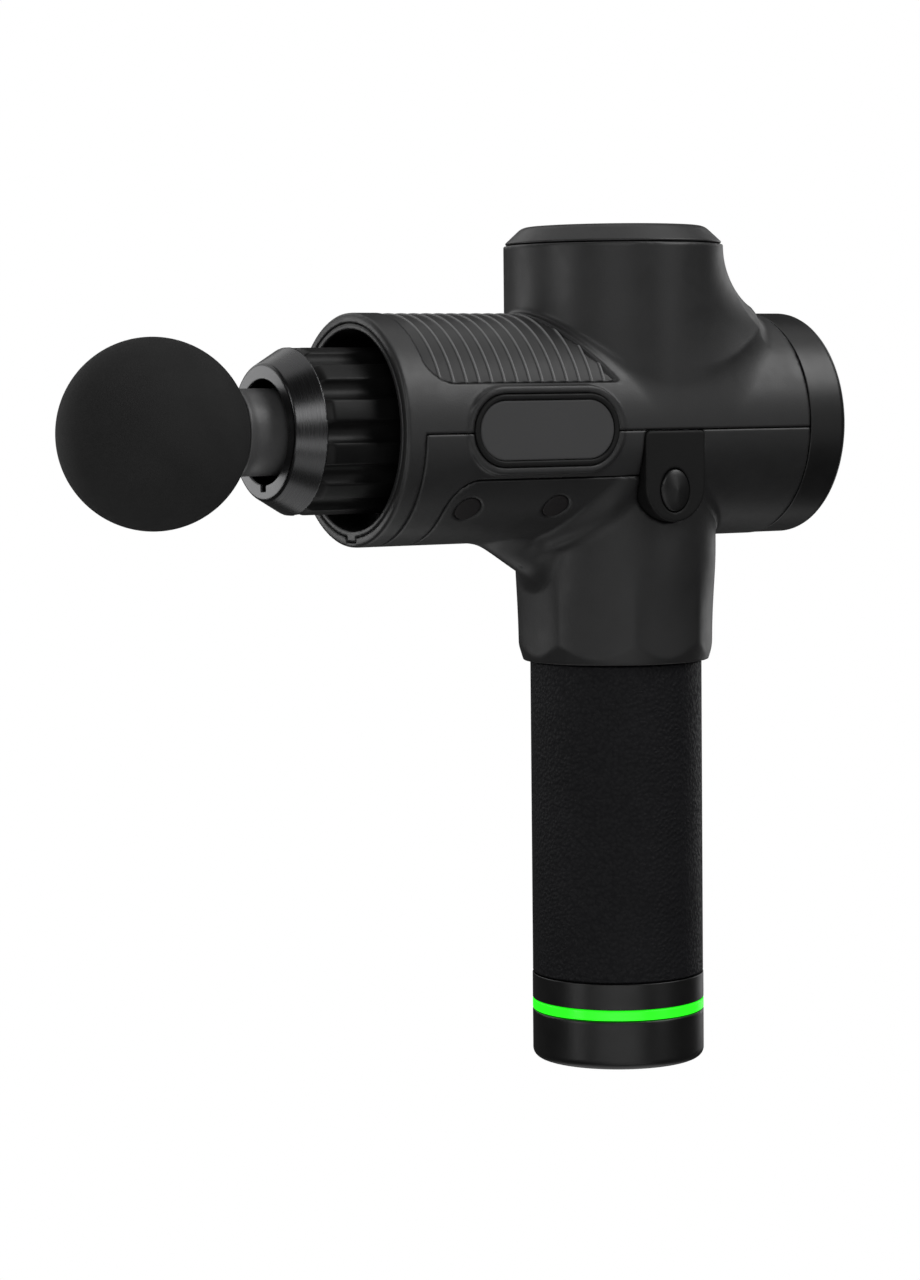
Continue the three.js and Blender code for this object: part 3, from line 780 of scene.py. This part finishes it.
def moulded(name, dark, light, rough, grain=2200.0, height=0.00002, specular=0.5):
    """Moulded plastic: a fine spark-eroded grain, slight mottling, and handling marks in its gloss."""
    made, nodes, links, plastic = shader(name)
    broad = noise(nodes, links, 45.0)
    links.new(tinted(nodes, links, broad.outputs["Fac"], dark, light), plastic.inputs["Base Color"])
    wear = noise(nodes, links, 160.0, 6.0, 0.6)
    links.new(spread(nodes, links, wear.outputs["Fac"], *rough), plastic.inputs["Roughness"])
    fine = noise(nodes, links, grain, 2.0)
    bumped(nodes, links, fine.outputs["Fac"], plastic, height)
    plastic.inputs["Specular IOR Level"].default_value = specular
    return made


def ribbed(name, dark, light, rough):
    """Moulded plastic with a painted highlight: its base colour turns pale along the bead of each rib."""
    made, nodes, links, plastic = shader(name)
    place, split = nodes.new("ShaderNodeTexCoord"), nodes.new("ShaderNodeSeparateXYZ")
    links.new(place.outputs["Object"], split.inputs["Vector"])
    along, phase = nodes.new("ShaderNodeMath"), nodes.new("ShaderNodeMath")
    along.operation, phase.operation = "MULTIPLY_ADD", "FRACT"
    along.inputs[1].default_value = 1 / (RIB_PITCH * MM)
    along.inputs[2].default_value = 100 - PATCH_FRONT_X / RIB_PITCH
    links.new(split.outputs["X"], along.inputs[0])
    links.new(along.outputs["Value"], phase.inputs[0])
    bead_highlight = nodes.new("ShaderNodeValToRGB")
    for _ in range(2):
        bead_highlight.color_ramp.elements.new(0.5)
    # painted highlight: the base colour is pale over each rib's bead, in place of the light that the bead
    # catches
    stops = ((0.78, dark), (0.84, light), (0.93, light), (0.97, dark))
    for stop, (where, colour) in zip(bead_highlight.color_ramp.elements, stops):
        stop.position = where
        stop.color = (*colour, 1)
    links.new(phase.outputs["Value"], bead_highlight.inputs["Fac"])
    links.new(bead_highlight.outputs["Color"], plastic.inputs["Base Color"])
    wear = noise(nodes, links, 160.0, 6.0, 0.6)
    links.new(spread(nodes, links, wear.outputs["Fac"], *rough), plastic.inputs["Roughness"])
    return made


def leather(name):
    """Fine pebbled leather: cells with soft creases, over a slower wave."""
    made, nodes, links, skin = shader(name)
    place = nodes.new("ShaderNodeTexCoord")
    warp = noise(nodes, links, 900.0, 2.0)
    offset = nodes.new("ShaderNodeVectorMath")
    offset.operation = "MULTIPLY_ADD"
    offset.inputs[1].default_value = (0.0006,) * 3
    links.new(warp.outputs["Color"], offset.inputs[0])
    links.new(place.outputs["Object"], offset.inputs[2])
    cells = nodes.new("ShaderNodeTexVoronoi")
    cells.feature = "SMOOTH_F1"
    cells.inputs["Scale"].default_value = 950.0
    cells.inputs["Smoothness"].default_value = 0.35
    links.new(offset.outputs["Vector"], cells.inputs["Vector"])
    pores = noise(nodes, links, 2600.0, 3.0)
    total = nodes.new("ShaderNodeMath")
    total.operation = "MULTIPLY_ADD"
    total.inputs[1].default_value = -1.0
    links.new(cells.outputs["Distance"], total.inputs[0])
    links.new(spread(nodes, links, pores.outputs["Fac"], 0.0, 0.25), total.inputs[2])
    bumped(nodes, links, total.outputs["Value"], skin, 0.0003)
    skin.inputs["Specular IOR Level"].default_value = 0.22
    broad = noise(nodes, links, 60.0)
    dark, light = (0.0035, 0.0035, 0.0046), (0.006, 0.006, 0.0074)
    links.new(tinted(nodes, links, broad.outputs["Fac"], dark, light), skin.inputs["Base Color"])
    links.new(spread(nodes, links, cells.outputs["Distance"], 0.5, 0.72), skin.inputs["Roughness"])
    return made


def foam(name):
    made, nodes, links, skin = shader(name)
    broad = noise(nodes, links, 70.0)
    dark, light = (0.023, 0.023, 0.023), (0.028, 0.028, 0.028)
    links.new(tinted(nodes, links, broad.outputs["Fac"], dark, light), skin.inputs["Base Color"])
    fine = noise(nodes, links, 3200.0, 3.0, 0.7)
    links.new(spread(nodes, links, fine.outputs["Fac"], 0.7, 0.85), skin.inputs["Roughness"])
    bumped(nodes, links, fine.outputs["Fac"], skin, 0.00007)
    skin.inputs["Specular IOR Level"].default_value = 0.08
    return made


def machined(name, colour, rough, grain=(6000.0, 60.0, 60.0)):
    """Turned metal: fine tool marks round the barrel's axis."""
    made, nodes, links, metal = shader(name)
    place = nodes.new("ShaderNodeTexCoord")
    stretch = nodes.new("ShaderNodeMapping")
    stretch.inputs["Scale"].default_value = grain
    links.new(place.outputs["Object"], stretch.inputs["Vector"])
    marks = nodes.new("ShaderNodeTexNoise")
    marks.inputs["Scale"].default_value = 1.0
    marks.inputs["Detail"].default_value = 3.0
    links.new(stretch.outputs["Vector"], marks.inputs["Vector"])
    dark = tuple(0.9 * c for c in colour)
    links.new(tinted(nodes, links, marks.outputs["Fac"], dark, colour), metal.inputs["Base Color"])
    links.new(spread(nodes, links, marks.outputs["Fac"], *rough), metal.inputs["Roughness"])
    bumped(nodes, links, marks.outputs["Fac"], metal, 0.000005)
    metal.inputs["Metallic"].default_value = 1.0
    return made


def glowing(name, colour, strength):
    made, nodes, links, guide = shader(name)
    spots = noise(nodes, links, 120.0, 2.0)
    links.new(spread(nodes, links, spots.outputs["Fac"], 0.25, 0.4), guide.inputs["Roughness"])
    dark = tuple(0.88 * c for c in colour)
    shade = tinted(nodes, links, spots.outputs["Fac"], dark, colour)
    links.new(shade, guide.inputs["Base Color"])
    links.new(shade, guide.inputs["Emission Color"])
    guide.inputs["Emission Strength"].default_value = strength
    return made


LOOKS = {
    "shell": moulded("shell_plastic", (0.017, 0.017, 0.0173), (0.021, 0.021, 0.0214), (0.38, 0.48)),
    "lower": moulded("lower_plastic", (0.012, 0.012, 0.0123), (0.015, 0.015, 0.0153), (0.4, 0.5)),
    # ribs: the pale colour is a painted highlight along each rib's bead
    "ribs": ribbed("rib_plastic", (0.022, 0.022, 0.0223), (0.16, 0.16, 0.162), (0.36, 0.46)),
    "gloss": moulded("gloss_plastic", (0.003, 0.003, 0.0031), (0.0045, 0.0045, 0.0046), (0.34, 0.42),
                     grain=900.0, height=0.000004),
    "sleeve": moulded("sleeve_plastic", (0.003, 0.003, 0.003), (0.0045, 0.0045, 0.0045), (0.36, 0.46),
                      specular=0.2),
    "tab": moulded("tab_plastic", (0.004, 0.004, 0.004), (0.006, 0.006, 0.006), (0.5, 0.6),
                    specular=0.25),
    "plate": moulded("badge_plastic", (0.066, 0.066, 0.067), (0.07, 0.07, 0.071), (0.5, 0.6),
                      specular=0.2),
    "stem": moulded("stem_plastic", (0.075, 0.075, 0.076), (0.09, 0.09, 0.091), (0.36, 0.46)),
    "rubber": moulded("plug_rubber", (0.009, 0.0075, 0.008), (0.013, 0.011, 0.0115), (0.62, 0.75),
                      grain=1600.0, height=0.00003, specular=0.3),
    "grip": leather("grip_leather"),
    "foam": foam("head_foam"),
    "nose": machined("nose_metal", (0.08, 0.08, 0.0815), (0.24, 0.32)),
    "metal": machined("satin_metal", (0.42, 0.42, 0.43), (0.3, 0.45)),
    "steel": machined("ground_steel", (0.55, 0.55, 0.56), (0.2, 0.32)),
    "bronze": machined("sintered_bronze", (0.45, 0.29, 0.12), (0.35, 0.5)),
    "copper": machined("enamelled_copper", (0.5, 0.2, 0.08), (0.3, 0.42), grain=(900.0, 900.0, 90.0)),
    "board": moulded("circuit_board", (0.01, 0.07, 0.03), (0.015, 0.11, 0.045), (0.3, 0.45)),
    "cell": moulded("cell_sleeve", (0.02, 0.08, 0.3), (0.03, 0.11, 0.36), (0.25, 0.4)),
    "glow": glowing("lit_green", (0.02, 1.0, 0.012), 1.0),
    "lens": moulded("display_window", (0.003, 0.003, 0.0035), (0.004, 0.004, 0.0045), (0.06, 0.1),
                    grain=400.0, height=0.000002),
}


# ---- assembly: each piece stands for a node, and takes the node's body and material slot ----
BODY_OF = {node: body for body, nodes in frame["record"]["behaviour"]["bodies"].items() for node in nodes}


def stand_for(piece, node, look):
    piece.data.materials.append(LOOKS[look])
    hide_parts(node)
    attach(piece, BODY_OF[node])


def make_moulded(node, field, step, look):
    """A piece from its field, sampled over the node's box and a little beyond."""
    margin = 1.0
    stand_for(body(field, low(node) - margin, high(node) + margin, step, "fine_" + node), node, look)


make_moulded("upper_shell", upper_shell, 0.65, "shell")
make_moulded("front_lower_shell", front_lower_shell, 0.5, "shell")
make_moulded("neck_housing", neck_housing, 0.6, "lower")
make_moulded("mouth_liner", mouth_liner, 0.5, "shell")
make_moulded("nose_ring", nose_ring, 0.3, "nose")
make_moulded("fluted_sleeve", fluted_sleeve, 0.45, "sleeve")
make_moulded("rear_panel", rear_panel, 0.4, "gloss")
make_moulded("display_lens", display_lens, 0.25, "lens")
make_moulded("base_cup", base_cup, 0.45, "gloss")
make_moulded("power_switch", power_switch, 0.2, "rubber")
ribs_low, ribs_high = (PATCH_FRONT_X, -30, BARREL_Z + 10), (-12, 30, BARREL_Z + BARREL_R)
ribs = body(rib_patch, ribs_low, ribs_high, RIB_PITCH / 12, "fine_rib_patch")
ribs.data.materials.append(LOOKS["ribs"])
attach(ribs, BODY_OF["upper_shell"])

for hand, side in (("left", 1), ("right", -1)):
    make_moulded(f"side_tab_{hand}", tab_field(side), 0.4, "tab")
    make_moulded(f"release_button_{hand}", button_field(side), 0.3, "gloss")
    make_moulded(f"badge_frame_{hand}", badge_frame_field(side), 0.35, "tab")
    make_moulded(f"badge_plate_{hand}", badge_plate_field(side), 0.35, "plate")
    for row, plug_x in PLUGS.items():
        make_moulded(f"screw_plug_{row}_{hand}", plug_field(side, plug_x), 0.3, "rubber")
for node in KEYS:
    make_moulded(node, key_field(node), 0.2, "rubber")

stand_for(make_turret_cap(), "turret_cap", "shell")
stand_for(make_rear_cap(), "rear_cap", "gloss")
stand_for(make_battery_tube(), "battery_tube", "lower")
BAND_INNER_R, GRIP_R, BAND_R = 22.3, 23.95, 24.06
stand_for(make_ring("grip_sleeve", BAND_INNER_R, GRIP_R, 0.5), "grip_sleeve", "grip")
stand_for(make_ring("base_band", BAND_INNER_R, BAND_R, 0.25), "base_band", "gloss")
stand_for(make_ring("light_ring", BAND_INNER_R, BAND_R, 0.2), "light_ring", "glow")
stand_for(make_charge_jack(), "charge_jack", "lower")
stand_for(make_stem(), "head_stem", "stem")
stand_for(make_piston(), "piston", "metal")
for node in ("stem_o_ring_1", "stem_o_ring_2"):
    stand_for(make_o_ring(node), node, "rubber")
ball = make_ball()
stand_for(ball, "massage_ball", "foam")

NODE_LOOKS = {
    "metal": ["drive_frame", "motor_rotor", "yoke"],
    "steel": ["motor_shaft", "lower_bearing", "crank_disc", "crank_roller", "piston_rod"]
             + [node for node in frame["nodes"] if node.startswith("housing_screw")],
    "bronze": ["front_bush", "rear_bush"],
    "copper": ["motor_stator"],
    "board": ["control_board", "charge_board"],
    "cell": [node for node in frame["nodes"] if node.startswith("battery_cell")],
}
for look, nodes in NODE_LOOKS.items():
    for node in nodes:
        mesh = frame["nodes"][node].data
        mesh.materials.clear()
        mesh.materials.append(LOOKS[look])


# ---- camera and light ----
def make_camera():
    """On the right-hand side, 33 degrees round towards the head, level with the barrel's upper half."""
    distance, height, around = 0.96374, 0.19122, math.radians(-33.2827)
    pan, tilt, roll = 0.04523, 0.07611, -0.01033
    heading = around + pan
    forward = Vector((
        -math.sin(heading) * math.cos(tilt), math.cos(heading) * math.cos(tilt), -math.sin(tilt),
    ))
    level = Vector((math.cos(heading), math.sin(heading), 0))
    upright = level.cross(forward)
    right = math.cos(roll) * level + math.sin(roll) * upright
    up = right.cross(forward)
    camera = bpy.data.objects.new("camera", bpy.data.cameras.new("camera"))
    bpy.context.scene.collection.objects.link(camera)
    turn = Matrix((right, up, -forward)).transposed().to_4x4()
    place = Matrix.Translation((distance * math.sin(around), -distance * math.cos(around), height))
    camera.matrix_world = place @ turn
    camera.data.sensor_width = 36
    camera.data.lens = 97.0
    camera.data.clip_start, camera.data.clip_end = 0.05, 20
    bpy.context.scene.camera = camera


def softbox(name, azimuth, elevation, distance, size, energy, target=(0, 0, 0.15)):
    """A soft light aimed at the target. Azimuth 0 faces the right-hand side, and 90 the rear."""
    a, e = math.radians(azimuth), math.radians(elevation)
    away = Vector((math.sin(a) * math.cos(e), -math.cos(a) * math.cos(e), math.sin(e)))
    light = bpy.data.lights.new(name, "AREA")
    light.shape = "RECTANGLE"
    light.size, light.size_y = size
    light.energy = energy
    made = bpy.data.objects.new(name, light)
    bpy.context.scene.collection.objects.link(made)
    made.location = Vector(target) + distance * away
    made.rotation_euler = away.to_track_quat("Z", "Y").to_euler()
    made.visible_camera = False


def make_world():
    """White behind the object, and dim for everything that it lights."""
    world = bpy.data.worlds.new("studio")
    world.use_nodes = True
    nodes, links = world.node_tree.nodes, world.node_tree.links
    nodes.clear()
    backdrop, room = nodes.new("ShaderNodeBackground"), nodes.new("ShaderNodeBackground")
    backdrop.inputs["Strength"].default_value = 1.0
    backdrop.inputs["Color"].default_value = (1, 1, 1, 1)
    room.inputs["Color"].default_value = (1, 1, 1, 1)
    room.inputs["Strength"].default_value = 0.05
    path, mix = nodes.new("ShaderNodeLightPath"), nodes.new("ShaderNodeMixShader")
    links.new(path.outputs["Is Camera Ray"], mix.inputs["Fac"])
    links.new(room.outputs["Background"], mix.inputs[1])
    links.new(backdrop.outputs["Background"], mix.inputs[2])
    links.new(mix.outputs["Shader"], nodes.new("ShaderNodeOutputWorld").inputs["Surface"])
    bpy.context.scene.world = world


make_camera()
make_world()
softbox("key", 47, 45, 1.1, (0.7, 0.6), 5.8)
softbox("nose_key", -31, 25, 1.1, (0.5, 0.35), 1.7)
softbox("overhead", 147, 76, 1.1, (1.2, 0.9), 2.8)
softbox("left_strip", -88, 8, 1.1, (0.3, 1.0), 2.6)
softbox("right_strip", 27, 8, 1.1, (0.3, 1.0), 1.0)
softbox("front_low", -33, -14, 1.1, (1.3, 0.25), 1.6)
softbox("fill_low", -20, -40, 1.1, (1.0, 0.4), 1.0)
softbox("nose_light", -147, -2, 0.28, (0.13, 0.15), 0.14, (-0.085, 0, 0.177))
softbox("rear_right", 115, 6, 1.2, (0.5, 1.0), 1.8)
softbox("rear", 195, 30, 1.3, (1.2, 0.8), 2.6)
softbox("floor_bounce", 150, -80, 0.9, (0.9, 0.9), 2.2)
bpy.context.scene.view_settings.view_transform = "Standard"
